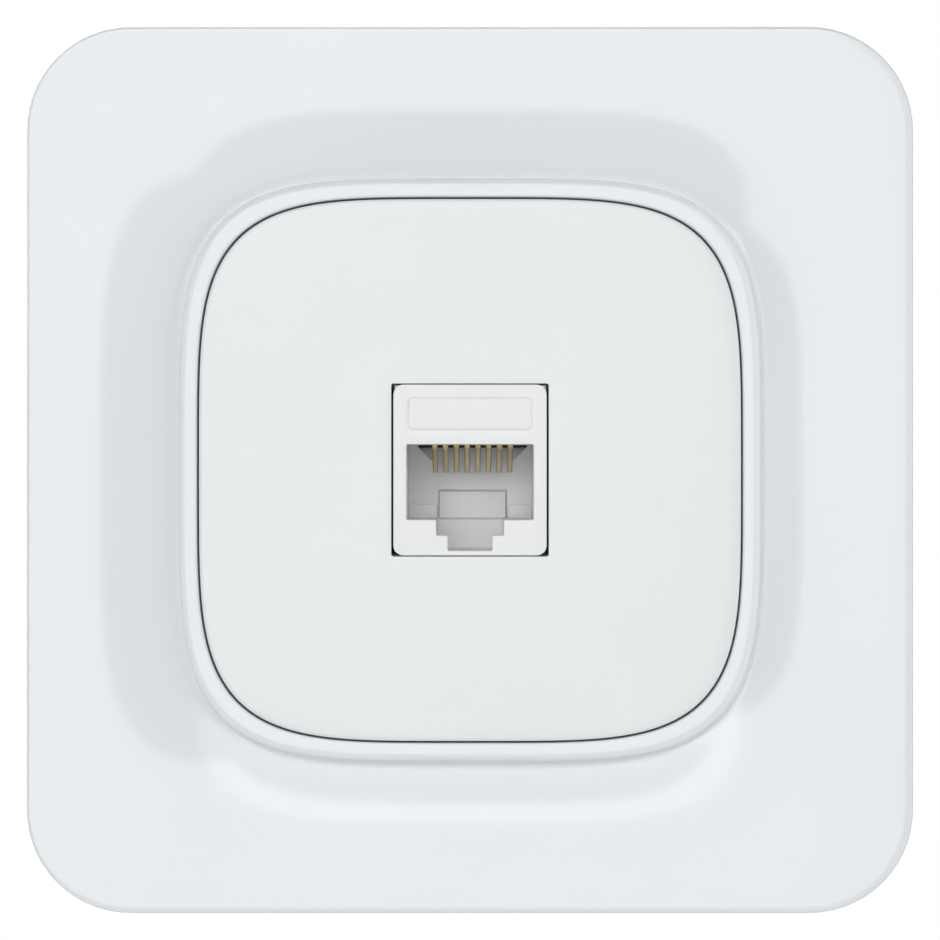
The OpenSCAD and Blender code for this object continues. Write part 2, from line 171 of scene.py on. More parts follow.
# %% White plastics
def white_plastic(name, slot, shades, roughness, spread, ripple, ripple_height, ior=1.53):
    """A moulded plastic: slow colour drift, uneven gloss, and a surface ripple in metres."""
    material, shader, place = start_material(name, slot)
    drift = add(material, "ShaderNodeTexNoise", Vector=place, Scale=1 / (22 * MM), Detail=3.0)
    link(material, ramp(material, drift.outputs["Fac"], shades), shader, "Base Color")
    cloud = add(material, "ShaderNodeTexNoise", Vector=place, Scale=1 / (3 * MM), Detail=4.0)
    gloss = add(material, "ShaderNodeMapRange", Value=cloud.outputs["Fac"], To_Min=roughness,
                To_Max=roughness + spread)
    link(material, gloss.outputs["Result"], shader, "Roughness")
    wave = add(material, "ShaderNodeTexNoise", Vector=place, Scale=1 / ripple, Detail=2.0)
    bump = add(material, "ShaderNodeBump", Height=wave.outputs["Fac"], Distance=ripple_height,
               Strength=1.0)
    link(material, bump.outputs["Normal"], shader, "Normal")
    shader.inputs["IOR"].default_value = ior
    return material


white_plastic("abs_cool_white_polished", "frame_gloss", [(0.3, "EAEEF0"), (0.7, "ECF0F2")],
               0.1, 0.04, 2.4 * MM, 0.002 * MM)
white_plastic("abs_cool_white_plate", "plate_gloss", [(0.3, "E9EEEE"), (0.7, "EBF0F0")],
              0.2, 0.06, 1.8 * MM, 0.002 * MM)
white_plastic("polycarbonate_satin_white", "jack_white", [(0.3, "F2F3F3"), (0.7, "F4F5F5")],
              0.38, 0.1, 0.25 * MM, 0.003 * MM)
white_plastic("polycarbonate_natural_insert", "insert_plastic", [(0.3, "F6F7F7"), (0.7, "F9FAFA")],
              0.42, 0.1, 0.3 * MM, 0.003 * MM)
white_plastic("polyamide_pale_grey", "carrier_plastic", [(0.3, "DCDEDF"), (0.7, "E2E4E5")],
              0.45, 0.12, 0.35 * MM, 0.006 * MM)
print("plastics:", len(MATERIALS))

# %% [markdown]
# ## Metals
#
# The mounting plate and claws are pressed from steel strip and zinc plated: a pale, slightly blue
# metal with rolling lines along one direction and soft grey blotches. The screws are the same
# plating over a turned surface. The contacts are phosphor bronze under a thin layer of gold, and
# the terminal blades are tinned bronze. A metal keeps the default IOR, because its colour and
# roughness decide how it looks.

# %% Metals
def plated_metal(name, slot, shades, roughness, spread, grain, blotch=6 * MM, stretch=(1, 1, 14)):
    """A plated metal with grain lines along one axis and cloudy, oxidised blotches."""
    material, shader, place = start_material(name, slot)
    cloud = add(material, "ShaderNodeTexNoise", Vector=place, Scale=1 / blotch, Detail=5.0)
    link(material, ramp(material, cloud.outputs["Fac"], shades), shader, "Base Color")
    squeeze = add(material, "ShaderNodeMapping", Vector=place, Scale=[1 / s for s in stretch])
    lines = add(material, "ShaderNodeTexNoise", Vector=squeeze.outputs["Vector"],
                Scale=1 / grain, Detail=3.0)
    rough = add(material, "ShaderNodeMapRange", Value=lines.outputs["Fac"], To_Min=roughness,
                To_Max=roughness + spread)
    link(material, rough.outputs["Result"], shader, "Roughness")
    bump = add(material, "ShaderNodeBump", Height=lines.outputs["Fac"], Distance=0.004 * MM,
               Strength=1.0)
    link(material, bump.outputs["Normal"], shader, "Normal")
    shader.inputs["Metallic"].default_value = 1.0
    return material


plated_metal("steel_strip_zinc_plated", "zinc_steel", [(0.3, "B9BEC2"), (0.7, "CDD0D0")],
             0.28, 0.2, 0.12 * MM)
plated_metal("steel_turned_zinc_plated", "screw_steel", [(0.3, "B4B8BC"), (0.7, "D0D3D5")],
             0.22, 0.18, 0.1 * MM, stretch=(1, 6, 1))
plated_metal("phosphor_bronze_gold_plated", "gold_contact", [(0.3, "CDB17C"), (0.7, "DEC79A")],
             0.24, 0.14, 0.06 * MM, blotch=1.2 * MM, stretch=(1, 10, 1))


def paint_contact_side_shade(material, start, end, edge_hex):
    """Painted shade: darken the sides of a contact towards a dark brown, for the shadow and dark
    reflection that run along a round-edged strip.

    An attribute on the piece says how far each point faces sideways.
    """
    shader = next(n for n in material.node_tree.nodes if n.type == "BSDF_PRINCIPLED")
    plated = shader.inputs["Base Color"].links[0].from_socket
    sideways = add(material, "ShaderNodeAttribute", {"attribute_name": "painted_side_shade"})
    edge = add(material, "ShaderNodeMapRange", Value=sideways.outputs["Fac"], From_Min=start,
               From_Max=end)
    # Mix the gold towards the painted side shade where the surface faces sideways.
    side_shade_mix = add(material, "ShaderNodeMix", {"data_type": "RGBA"})
    link(material, edge.outputs["Result"], side_shade_mix, 0)
    link(material, plated, side_shade_mix, 6)
    side_shade_mix.inputs[7].default_value = colour(edge_hex)
    link(material, side_shade_mix.outputs[2], shader, "Base Color")


# Painted shade: the sides of the gold contacts turn dark brown, standing in for shadow and dark
# reflection.
paint_contact_side_shade(MATERIALS["gold_contact"], 0.3, 0.7, "45331F")
plated_metal("bronze_tinned", "blade_bronze", [(0.3, "C9B48A"), (0.7, "D6C8A6")],
             0.3, 0.15, 0.08 * MM, blotch=1.5 * MM, stretch=(1, 10, 1))

# %% [markdown]
# ## The circuit board
#
# The little board between contacts and terminals is glass fibre under green solder resist. Its
# copper tracks show through as slightly raised, lighter lines. A brick pattern read in the board's
# own plane gives short straight runs at about the real track spacing.

# %% Solder resist
def solder_resist(name, slot):
    material, shader, place = start_material(name, slot)
    turned = add(material, "ShaderNodeMapping", Vector=place, Rotation=(math.radians(90), 0, 0))
    tracks = add(material, "ShaderNodeTexBrick", Vector=turned.outputs["Vector"],
                 Scale=1 / (1.2 * MM), Mortar_Size=0.12, Color1=colour("0E4A2A"),
                 Color2=colour("115230"), Mortar=colour("1F7A48"), Brick_Width=2.0, Row_Height=0.8)
    link(material, tracks.outputs["Color"], shader, "Base Color")
    bump = add(material, "ShaderNodeBump", Height=tracks.outputs["Fac"], Distance=0.03 * MM)
    link(material, bump.outputs["Normal"], shader, "Normal")
    shader.inputs["Roughness"].default_value = 0.3
    return material


solder_resist("solder_resist_green", "board_green")
print("materials:", ", ".join(sorted(MATERIALS)))

# %% [markdown]
# ## Finishing a piece
#
# Every new piece ends the same way: its mesh gets a material, smooth shading that still breaks at
# real edges, a body to ride on and, where it stands for a part of the engineering model, that part
# is hidden. One function does this, so no piece can miss a step.

# %% Finish helper
SMOOTH_ANGLE = math.radians(35)


def finish_piece(name, mesh_bm, body, slot, replaced=(), smooth=SMOOTH_ANGLE):
    """Turn a bmesh into a finished object that rides on a body."""
    bmesh.ops.remove_doubles(mesh_bm, verts=mesh_bm.verts, dist=1e-7)
    bmesh.ops.recalc_face_normals(mesh_bm, faces=mesh_bm.faces)
    mesh = bpy.data.meshes.new(name)
    mesh_bm.to_mesh(mesh)
    mesh_bm.free()
    mesh.shade_smooth()
    mesh.set_sharp_from_angle(angle=smooth)
    mesh.materials.append(MATERIALS[slot])
    piece = bpy.data.objects.new(name, mesh)
    bpy.context.scene.collection.objects.link(piece)
    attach(piece, body)
    if replaced:
        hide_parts(*replaced)
    print(name, "has", len(mesh.polygons), "faces")
    return piece


# %% [markdown]
# ## Outlines that blend
#
# The centre plate is not a square with round corners. Its sides bow out a little and its corners
# have no clear beginning: it follows the curve |x|^n + |z|^n = a^n, with n a little over 4. The
# outer frame is a true square with round corners. Written as a distance from the centre for each
# direction, both are short formulas, and a blend of the two is just a mix of two numbers. That
# makes every ring of the frame the same kind of thing: an outline, a mix and a height.

# %% Outlines by direction
SQUARENESS = 4.35
FRAME_CORNER = 9.7 * MM


def soft_square(a):
    """The bowed outline of half width a."""
    def radius(t):
        c, s = abs(math.cos(t)), abs(math.sin(t))
        return a / (c**SQUARENESS + s**SQUARENESS) ** (1 / SQUARENESS)
    return radius


def round_rect(half_x, half_z, corner):
    """A rectangle with round corners."""
    def radius(t):
        c, s = abs(math.cos(t)), abs(math.sin(t))
        kx, kz = half_x - corner, half_z - corner
        if c > 0 and half_x * s / c <= kz:
            return half_x / c
        if s > 0 and half_z * c / s <= kx:
            return half_z / s
        along = kx * c + kz * s
        return along + math.sqrt(max(0, along**2 - kx**2 - kz**2 + corner**2))
    return radius


def mix_outlines(first, second, share):
    return lambda t: (1 - share) * first(t) + share * second(t)


def smooth_step(value):
    value = max(0.0, min(1.0, value))
    return value * value * (3 - 2 * value)


def arc(centre, radius, start, end, steps):
    """Points (a, height) along an arc, in degrees."""
    turns = [math.radians(start + (end - start) * i / steps) for i in range(steps + 1)]
    return [(centre[0] + radius * math.cos(t), centre[1] + radius * math.sin(t)) for t in turns]


# %% [markdown]
# ## Sweeping rings into a shell
#
# A circle of vertices is created once and pushed onto the first outline. Then its edges are
# extruded again and again, and each new ring is pushed onto the next outline. Each vertex keeps
# its direction from the centre, so no list of coordinates is needed. At the end the last ring is
# bridged to the first, which closes the shell into a solid with a hole through the middle.

# %% Ring sweep
RING_SEGMENTS = 320


def push_ring(verts, outline, height):
    for v in verts:
        t = math.atan2(v.co.z, v.co.x)
        r = outline(t)
        v.co = (r * math.cos(t), -height, r * math.sin(t))


def sweep_rings(rings, segments=RING_SEGMENTS):
    """A closed ring-shaped shell through (outline, height) pairs."""
    shell = bmesh.new()
    upright = Matrix.Rotation(math.radians(90), 4, "X")
    circle = bmesh.ops.create_circle(shell, segments=segments, radius=1, matrix=upright)["verts"]
    push_ring(circle, *rings[0])
    first_edges = list(shell.edges)
    edges = first_edges
    for outline, height in rings[1:]:
        grown = bmesh.ops.extrude_edge_only(shell, edges=edges)["geom"]
        verts = [g for g in grown if isinstance(g, bmesh.types.BMVert)]
        new = set(verts)
        edges = [g for g in grown if isinstance(g, bmesh.types.BMEdge)
                 and g.verts[0] in new and g.verts[1] in new]
        push_ring(verts, outline, height)
    bmesh.ops.bridge_loops(shell, edges=first_edges + edges)
    return shell


# %% [markdown]
# ## The outer frame
#
# The frame is one moulding. From the outside in, its face goes over a small rounded edge, runs
# nearly flat as a rim, dips more and more steeply as a dish, and then climbs a short wall to the
# flat top of the collar. Shading such a surface well is all about the transitions: the collar's
# outer edge has a generous radius, and its foot and the rim have small ones, each made of several
# rings. Underneath, a lip holds the frame against the plastic box behind the centre plate.

# %% Frame sizes from the engineering model
frame_low, frame_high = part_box("outer_frame")
frame_half = frame_high.x
rim_height = -frame_low.y
dish_height = rim_height - 2.25 * MM
collar_height = rim_height - 0.4 * MM
plate_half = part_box("centre_plate")[1].x
PLATE_GAP = 0.2 * MM
collar_inner = plate_half + PLATE_GAP
collar_wall = collar_inner + 1.75 * MM
foot_half = collar_wall + 0.3 * MM
rim_edge = 0.3 * MM
rim_half = frame_half - rim_edge
BLEND_START = 35.5 * MM
DISH_POWER = 2.3
print("frame half width:", round(frame_half / MM, 2), "mm")


def frame_outline(a):
    """Soft square near the collar, true square with round corners at the rim."""
    share = smooth_step((a - BLEND_START) / (rim_half - BLEND_START))
    square = round_rect(a, a, FRAME_CORNER - (frame_half - a))
    return mix_outlines(soft_square(a), square, share)


def dish_at(a):
    u = max(0.0, min(1.0, (a - foot_half) / (rim_half - foot_half)))
    return dish_height + (rim_height - dish_height) * (1 - (1 - u) ** DISH_POWER)


# %% Sweep the frame
DISH_RINGS = 30
FOOT_FILLET = 0.2 * MM
COLLAR_ROUND = 0.7 * MM
INNER_ROUND = 0.22 * MM
LIP_TOP, LIP_BOTTOM, LIP_REACH = 5 * MM, 4 * MM, 1.6 * MM
FRAME_WALL = 2 * MM
SKIRT_INNER = 39.5 * MM

frame_profile = [(frame_half, 0), (frame_half, 3 * MM), (frame_half, 6 * MM)]
frame_profile += arc((rim_half, rim_height - rim_edge), rim_edge, 0, 90, 6)
for i in range(1, DISH_RINGS):
    a = rim_half + (foot_half - rim_half) * i / DISH_RINGS
    frame_profile.append((a, dish_at(a)))
frame_profile += arc((collar_wall + FOOT_FILLET, dish_height + FOOT_FILLET * 0.97), FOOT_FILLET,
                     -75, -180, 8)
frame_profile += arc((collar_wall - COLLAR_ROUND, collar_height - COLLAR_ROUND), COLLAR_ROUND,
                     0, 90, 10)
frame_profile += [(collar_wall - 0.9 * MM, collar_height),
                  (collar_inner + 0.7 * MM, collar_height)]
frame_profile += arc((collar_inner + INNER_ROUND, collar_height - INNER_ROUND), INNER_ROUND,
                     90, 180, 4)
frame_profile += [(collar_inner, LIP_TOP), (collar_inner - LIP_REACH, LIP_TOP),
                  (collar_inner - LIP_REACH, LIP_BOTTOM), (collar_inner + LIP_REACH, LIP_BOTTOM)]
frame_profile += [(a * MM, dish_at(a * MM) - FRAME_WALL) for a in (28.8, 31, 33, 35, 37, 39)]
frame_profile += [(SKIRT_INNER, rim_height - FRAME_WALL), (SKIRT_INNER, 0)]


def frame_ring(a, height):
    """The rim's skirt is a true square all the way down."""
    inside_skirt = a > SKIRT_INNER - 0.3 * MM and height < rim_height - 0.95 * FRAME_WALL
    if a >= rim_half or inside_skirt:
        return round_rect(a, a, FRAME_CORNER - (frame_half - a)), height
    return frame_outline(a), height


frame_shell = sweep_rings([frame_ring(a, h) for a, h in frame_profile])
finish_piece("frame_moulding", frame_shell, "base", "frame_gloss", ["outer_frame"])

# %% [markdown]
# ## The centre plate
#
# The plate drops into the collar with a gap of a fifth of a millimetre. Its face is very slightly
# domed, its edge has a small bright bevel, and the window for the jack is cut square through it.
# The same ring sweep works here: the rings start as the soft square and end as the window.

# %% Sweep the centre plate
face_height = -face_y
window_half = (7.375 * MM, 8.1 * MM)
PLATE_EDGE = 0.3 * MM
PLATE_BACK = 7.6 * MM
PLATE_SKIRT = 1.7 * MM
DOME = 0.1 * MM
WINDOW_CORNER = 0.15 * MM
WINDOW_EDGE = 0.07 * MM
window = round_rect(*window_half, WINDOW_CORNER)

plate_rings = [(soft_square(plate_half), h) for h in (5 * MM, 8 * MM)]
for a, h in arc((plate_half - PLATE_EDGE, face_height - DOME - PLATE_EDGE), PLATE_EDGE, 0, 90, 6):
    plate_rings.append((soft_square(a), h))
FACE_RINGS = 16
for i in range(1, FACE_RINGS):
    share = i / FACE_RINGS
    outline = mix_outlines(soft_square(plate_half - PLATE_EDGE), window, share)
    plate_rings.append((outline, face_height - DOME * (1 - share) ** 2))
for a, h in arc((WINDOW_EDGE, face_height - WINDOW_EDGE), WINDOW_EDGE, 90, 180, 4):
    plate_rings.append((round_rect(window_half[0] + a, window_half[1] + a, WINDOW_CORNER + a), h))
plate_rings += [(window, PLATE_BACK), (soft_square(plate_half - PLATE_SKIRT), PLATE_BACK),
                (soft_square(plate_half - PLATE_SKIRT), LIP_TOP)]
plate_shell = sweep_rings(plate_rings)


# %% Clips behind the plate, and the plate's finish
def add_block(target, low, high, bevel=0.0, segments=2):
    """A box from corner to corner, in metres, with bevelled edges."""
    low, high = Vector(low), Vector(high)
    size = Matrix.Diagonal((*(high - low), 1))
    place = Matrix.Translation((low + high) / 2) @ size
    verts = bmesh.ops.create_cube(target, size=1, matrix=place)["verts"]
    edges = list({e for v in verts for e in v.link_edges})
    if bevel:
        bmesh.ops.bevel(target, geom=edges, offset=bevel, segments=segments, profile=0.5,
                        affect="EDGES", material=-1)


plate_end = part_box("centre_plate")[1].y
for side in (-1, 1):
    for up in (-1, 1):
        left, right = sorted((side * 10 * MM, side * 16 * MM))
        leg_low, leg_high = sorted((up * 11.3 * MM, up * 12.7 * MM))
        add_block(plate_shell, (left, -7.8 * MM, leg_low), (right, plate_end, leg_high), 0.2 * MM)
        barb_low, barb_high = sorted((up * 12.5 * MM, up * 13.4 * MM))
        add_block(plate_shell, (left, -1.2 * MM, barb_low), (right, -0.6 * MM, barb_high),
                  0.15 * MM)
finish_piece("plate_moulding", plate_shell, "base", "plate_gloss", ["centre_plate"])

# %% [markdown]
# ## Cutting and joining solids
#
# A moulding full of pockets is easiest to make the way a machinist thinks: start with a solid and
# take material away. Three helpers are enough. One extrudes an outline into a solid, one joins or
# cuts two solids with the Boolean modifier and reads the result back as a bmesh, and one rounds
# the sharp edges that a test picks, because no moulded edge is ever perfectly sharp.

# %% Solids from outlines
def prism(points, near_y, far_y):
    """A solid with an XZ outline, from one depth to another."""
    solid = bmesh.new()
    face = solid.faces.new([solid.verts.new((x, near_y, z)) for x, z in points])
    grown = bmesh.ops.extrude_face_region(solid, geom=[face])["geom"]
    far = [g for g in grown if isinstance(g, bmesh.types.BMVert)]
    bmesh.ops.translate(solid, verts=far, vec=(0, far_y - near_y, 0))
    return solid


def blocks(*corners):
    """One bmesh holding a box for each pair of corners, in millimetres."""
    solids = bmesh.new()
    for low, high in corners:
        add_block(solids, Vector(low) * MM, Vector(high) * MM)
    return solids


# %% Booleans between two bmeshes
def combine(target, tool, operation):
    """Join or cut two solids exactly, and return the result."""
    parts = []
    for shape in (target, tool):
        bmesh.ops.recalc_face_normals(shape, faces=shape.faces)
        mesh = bpy.data.meshes.new("solid")
        shape.to_mesh(mesh)
        shape.free()
        part = bpy.data.objects.new("solid", mesh)
        bpy.context.scene.collection.objects.link(part)
        parts.append(part)
    boolean = parts[0].modifiers.new("boolean", "BOOLEAN")
    boolean.operation = operation
    boolean.solver = "EXACT"
    boolean.object = parts[1]
    result = bmesh.new()
    result.from_object(parts[0], bpy.context.evaluated_depsgraph_get())
    for part in parts:
        mesh = part.data
        bpy.data.objects.remove(part)
        bpy.data.meshes.remove(mesh)
    return result


def round_edges(shape, width, picks, segments=3):
    """Round the sharp edges whose middle passes a test."""
    edges = [e for e in shape.edges if len(e.link_faces) == 2
             and e.calc_face_angle() > SMOOTH_ANGLE
             and picks((e.verts[0].co + e.verts[1].co) / 2 / MM)]
    bmesh.ops.bevel(shape, geom=edges, offset=width, segments=segments, profile=0.5,
                    affect="EDGES", material=-1, clamp_overlap=True)
    return len(edges)


# %% [markdown]
# ## The jack housing
#
# The jack's face is a small rectangle with rounded corners and a stepped hole: the plug opening,
# and below it the keyway for the plug's latch. Above the hole is a raised pad for a label. Behind
# the front wall the hole grows upwards into the pocket of the contact insert, and sideways where
# the latch of a plug catches. A shallow channel on top gives the jack's own latch room to bend.

# %% Outlines of the jack's face
def corner_points(half_x, half_z, corner, steps=8):
    """A rectangle with round corners, as points."""
    points = []
    for quarter, (sx, sz) in enumerate([(1, 1), (-1, 1), (-1, -1), (1, -1)]):
        for i in range(steps + 1):
            t = math.radians(90 * (quarter + i / steps))
            points.append((sx * (half_x - corner) + corner * math.cos(t),
                           sz * (half_z - corner) + corner * math.sin(t)))
    return points


def soften(points, radius, steps=4):
    """Turn each square corner of an outline into a small arc."""
    softened = []
    for i, point in enumerate(points):
        here = Vector(point)
        back = (Vector(points[i - 1]) - here).normalized()
        on = (Vector(points[(i + 1) % len(points)]) - here).normalized()
        centre = here + (back + on) * radius
        for k in range(steps + 1):
            t = math.radians(90 * k / steps)
            softened.append(tuple(centre - (on * math.cos(t) + back * math.sin(t)) * radius))
    return softened


jack_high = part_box("jack_housing")[1]
jack_half_x = jack_high.x
JACK_HALF_Z = 8 * MM
JACK_CORNER = 0.95 * MM
PLUG_X, PLUG_TOP, PLUG_FLOOR = 5.95, 2.4, -4.66
KEY_WIDE, KEY_WIDE_Z = 3.16, -6.13
KEY_SLOT, KEY_SLOT_Z = 2.085, -7.55
POCKET_TOP = 4.3
REAR_WALL = 3.4
face_mm = face_y / MM

right_side = [(PLUG_X, PLUG_TOP), (PLUG_X, PLUG_FLOOR), (KEY_WIDE, PLUG_FLOOR),
              (KEY_WIDE, KEY_WIDE_Z), (KEY_SLOT, KEY_WIDE_Z), (KEY_SLOT, KEY_SLOT_Z)]
mouth = [(x * MM, z * MM) for x, z in right_side + [(-x, z) for x, z in reversed(right_side)]]

# %% Build the jack housing
LUG = ((-3.5, -1, -9.4), (3.5, 1.5, -7.5))
PAD_HALF_X, PAD_HALF_Z, PAD_MIDDLE, PAD_RISE = 5.83, 1.525, 5.275, 0.3
PAD_CORNER = 0.5
MOUTH_CORNER = 0.14
FRONT_WALL, KEYWAY_WALL = 1, 1.6
CHANNEL = ((-3.5, -4.4, 4.9), (3.5, 9, 9))
pad = [(x, z + PAD_MIDDLE * MM)
       for x, z in corner_points(PAD_HALF_X * MM, PAD_HALF_Z * MM, PAD_CORNER * MM)]

jack = prism(corner_points(jack_half_x, JACK_HALF_Z, JACK_CORNER), face_y, jack_high.y)
jack = combine(jack, blocks(LUG), "UNION")
jack = combine(jack, prism(pad, face_y - PAD_RISE * MM, face_y + 0.5 * MM), "UNION")
opening = prism(soften(mouth, MOUTH_CORNER * MM), face_y - 1 * MM, REAR_WALL * MM)
plug_room = blocks(((-PLUG_X, face_mm + FRONT_WALL, PLUG_FLOOR), (PLUG_X, 9, POCKET_TOP)))
latch_room = blocks(((-KEY_WIDE, face_mm + KEYWAY_WALL, KEY_SLOT_Z), (KEY_WIDE, REAR_WALL, -4)))
for hollow in (opening, plug_room, latch_room, blocks(CHANNEL)):
    jack = combine(jack, hollow, "DIFFERENCE")


def on_face(depth):
    return lambda middle: abs(middle.y - depth) < 1e-3


def on_rim(middle):
    return abs(middle.y - face_mm) < 1e-3 and max(abs(middle.x) - 7, abs(middle.z) - 7.8) > 0


def on_mouth(middle):
    return abs(middle.y - face_mm) < 1e-3 and abs(middle.x) < 6.2 and middle.z < PLUG_TOP + 0.1


print("jack edges rounded:", round_edges(jack, 0.2 * MM, on_face(face_mm - PAD_RISE)),
      round_edges(jack, 0.09 * MM, on_rim), round_edges(jack, 0.13 * MM, on_mouth))
finish_piece("jack_shell", jack, "base", "jack_white", ["jack_housing"])

# %% [markdown]
# ## The contact insert
#
# The back of the plug opening is a second moulding. Its roof carries the fixed runs of the
# contacts in eight grooves. Its rear wall has two ledges, a centre block outlined by a narrow
# shadow line, and behind the contacts a recess that curves from deep at the roof to nothing just
# below their tips. That curve is what makes the wall between the contacts fade from dark to light.
# Right under the roof, a slot runs through the wall and shows as a dark line.

# %% Build the contact insert
joint_of = {joint["name"]: joint for joint in frame["record"]["behaviour"]["joints"]}
contact_at = [Vector(joint_of[f"contact_beam_{n}_flex"]["pos_m"]) / MM for n in range(1, 9)]
row_x = (contact_at[0].x + contact_at[-1].x) / 2
ROOF = PLUG_TOP + 0.02
STOP_HALF, STOP_TOP, STOP_RISE = 3.2, -2.05, 0.6
LEDGE_X, LEDGE_TOP, LEDGE_RISE = 3.32, -3.35, 0.8
MOAT, MOAT_DEPTH = 0.15, 0.45
WALL_THICKNESS = 2.4
FIXED_RUN_Z = 3.05
GROOVE_HALF = 0.3

insert = blocks(((-PLUG_X, -7, ROOF), (PLUG_X, 8, POCKET_TOP)))
wall_back = REAR_WALL + WALL_THICKNESS
wall = blocks(((-PLUG_X, REAR_WALL, PLUG_FLOOR), (PLUG_X, wall_back, ROOF)))
moat = blocks(((row_x - STOP_HALF - MOAT, REAR_WALL - 1, -6),
               (row_x + STOP_HALF + MOAT, REAR_WALL + MOAT_DEPTH, STOP_TOP + MOAT)))
stop = blocks(((row_x - STOP_HALF, REAR_WALL - STOP_RISE, PLUG_FLOOR),
               (row_x + STOP_HALF, wall_back, STOP_TOP)))
ledge_front = REAR_WALL - LEDGE_RISE
ledges = blocks(
    ((-PLUG_X, ledge_front, PLUG_FLOOR), (row_x - LEDGE_X - MOAT, REAR_WALL + 1, LEDGE_TOP)),
    ((row_x + LEDGE_X + MOAT, ledge_front, PLUG_FLOOR), (PLUG_X, REAR_WALL + 1, LEDGE_TOP)))
for shape, operation in ((wall, "UNION"), (moat, "DIFFERENCE"), (stop, "UNION"),
                         (ledges, "UNION")):
    insert = combine(insert, shape, operation)

# %% Recess, roof slot and grooves of the insert
RECESS_TOP, RECESS_FOOT, RECESS_DEPTH = ROOF - 0.2, -0.7, 2.0
RECESS_SLICES = 12
RECESS_TOP_HALF, RECESS_WAIST_HALF, RECESS_WAIST_Z = 5.25, 3.85, 0.75
SLOT_HALF, SLOT_FOOT = 5.3, ROOF - 0.24


def recess_half(z):
    """Half width of the recess: it narrows quickly from the roof, then stays the same."""
    share = max(0.0, min(1.0, (z - RECESS_WAIST_Z) / (RECESS_TOP - RECESS_WAIST_Z)))
    return RECESS_WAIST_HALF + (RECESS_TOP_HALF - RECESS_WAIST_HALF) * share


recess = blocks(((-1, REAR_WALL - 0.5, RECESS_FOOT), (1, REAR_WALL, RECESS_TOP)))
for i in range(1, RECESS_SLICES):
    height = (RECESS_FOOT + (RECESS_TOP - RECESS_FOOT) * i / RECESS_SLICES) * MM
    bmesh.ops.bisect_plane(recess, geom=[*recess.verts, *recess.edges, *recess.faces],
                           plane_co=(0, 0, height), plane_no=(0, 0, 1))
for v in recess.verts:
    z = v.co.z / MM
    share = max(0.0, (z - RECESS_FOOT) / (RECESS_TOP - RECESS_FOOT))
    v.co.x = (row_x + math.copysign(recess_half(z), v.co.x)) * MM
    if v.co.y > (REAR_WALL - 0.25) * MM:
        v.co.y = (REAR_WALL - 0.01 + RECESS_DEPTH * share**2) * MM
roof_slot = blocks(((row_x - SLOT_HALF, REAR_WALL - 0.5, SLOT_FOOT),
                    (row_x + SLOT_HALF, REAR_WALL + 3, ROOF + 0.02)))
grooves = blocks(*[((at.x - GROOVE_HALF, -8, FIXED_RUN_Z), (at.x + GROOVE_HALF, 9, 5))
                   for at in contact_at])
for hollow in (recess, roof_slot, grooves):
    insert = combine(insert, hollow, "DIFFERENCE")
print("insert edges rounded:",
      round_edges(insert, 0.08 * MM, lambda at: at.z < 0 and at.y < REAR_WALL - 0.3, 2))
finish_piece("insert_moulding", insert, "base", "insert_plastic", ["contact_insert"])

# %% [markdown]
# ## The spring contacts
#
# Each contact is stamped from bronze strip, so its edges are slightly rounded and its free end has
# a soft nose. A straight bar would look dead: a real one bows by a tenth of a millimetre over its
# length. The bar is sliced across, so that it can bend, and every contact is a piece of its own,
# because each one springs back on its own. An attribute on the mesh says how far each point faces
# sideways, and the gold is painted dark there: painted shade and dark reflection along the sides.

# %% Build the eight contacts
CONTACT_W, CONTACT_T, CONTACT_ROUND = 0.5, 0.3, 0.13
BEAM_LENGTH = 7.9
BEAM_SLOPE = math.radians(16)
BOW = 0.1
SLICES = 14
ROOT = 0.2

for number, at in enumerate(contact_at, 1):
    beam = blocks(((-CONTACT_W / 2, -ROOT, -CONTACT_T / 2),
                   (CONTACT_W / 2, BEAM_LENGTH, CONTACT_T / 2)))
    bmesh.ops.bevel(beam, geom=list(beam.edges), offset=CONTACT_ROUND * MM, segments=5,
                    profile=0.5, affect="EDGES", material=-1)
    for i in range(1, SLICES):
        bmesh.ops.bisect_plane(beam, geom=[*beam.verts, *beam.edges, *beam.faces],
                               plane_co=(0, BEAM_LENGTH * MM * i / SLICES, 0), plane_no=(0, 1, 0))
    for v in beam.verts:
        along = max(0.0, v.co.y / MM / BEAM_LENGTH)
        v.co.z -= BOW * MM * math.sin(math.pi * min(1.0, along))
    bmesh.ops.rotate(beam, verts=beam.verts, matrix=Matrix.Rotation(-BEAM_SLOPE, 3, "X"))
    bmesh.ops.translate(beam, verts=beam.verts, vec=at * MM)
    contact = finish_piece(f"spring_contact_{number}", beam, f"contact_beam_{number}",
                           "gold_contact", [f"contact_beam_{number}"])
    # This attribute places the painted side shade on the gold.
    painted_side_shade = contact.data.attributes.new("painted_side_shade", "FLOAT", "POINT")
    painted_side_shade.data.foreach_set("value", [abs(v.normal.x) for v in contact.data.vertices])

# %% [markdown]
# ## Threaded claw screws
#
# The claw screws are M3 with a pan head and a cross slot. A thread is one V-shaped profile that
# turns and climbs at the same time. The spin operator does both: it turns the profile round the
# axis and moves it along by a small step each time, and after one full turn the end of one thread
# meets the start of the next, so merging doubles makes a single clean helix.

# %% Build the screws
PITCH = 0.5
THREAD_DEPTH = 0.3
THREAD_STEPS = 24
HEAD_R, HEAD_HEIGHT = 2.75, 2.1
CROSS_HALF, CROSS_WIDTH, CROSS_DEPTH = 1.7, 0.64, 1.2


def lathe(profile, steps=48):
    """A closed solid of revolution round Y. Its (radius, y) points start and end on the axis."""
    turned = bmesh.new()
    verts = [turned.verts.new((r * MM, y * MM, 0)) for r, y in profile]
    edges = [turned.edges.new(pair) for pair in zip(verts, verts[1:])]
    bmesh.ops.spin(turned, geom=verts + edges, cent=(0, 0, 0), axis=(0, 1, 0), dvec=(0, 0, 0),
                   angle=math.tau, steps=steps, use_merge=True)
    bmesh.ops.remove_doubles(turned, verts=turned.verts, dist=1e-7)
    return turned


